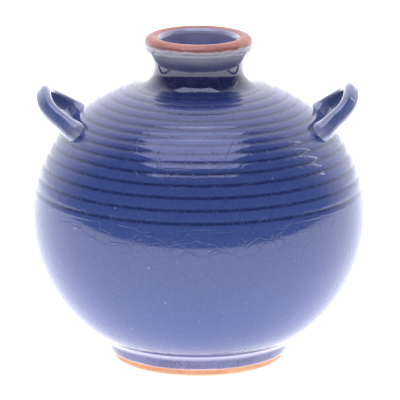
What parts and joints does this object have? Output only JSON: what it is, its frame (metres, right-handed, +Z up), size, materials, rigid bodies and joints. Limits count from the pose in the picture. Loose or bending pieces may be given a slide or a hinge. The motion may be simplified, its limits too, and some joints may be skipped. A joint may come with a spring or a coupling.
{
  "type": "flower vase",
  "caption": "Small round stoneware vase with a short flared neck, a turned foot ring and two ear handles on its grooved shoulder, for holding cut flowers in water.",
  "frame": {"origin": "middle of the foot ring, on the table", "axes": "+Z up out of the mouth, +X and -X through the two handles, -Y the front"},
  "size_m": [0.1, 0.1, 0.0976],
  "materials": {
    "stoneware_clay": "matte",
    "lip_clay": "satin",
    "blue_crackle_glaze": "gloss",
    "pale_neck_glaze": "gloss",
    "lining_glaze": "gloss",
    "handle_glaze": "gloss"
  },
  "bodies": {
    "root": {"body_shell": "stoneware_clay", "neck_collar": "lip_clay", "foot_ring": "stoneware_clay", "left_handle": "stoneware_clay", "right_handle": "stoneware_clay", "body_glaze": "blue_crackle_glaze", "neck_glaze": "pale_neck_glaze", "foot_glaze": "blue_crackle_glaze", "inner_glaze": "lining_glaze", "left_handle_glaze": "handle_glaze", "right_handle_glaze": "handle_glaze"}
  },
  "joints": []
}
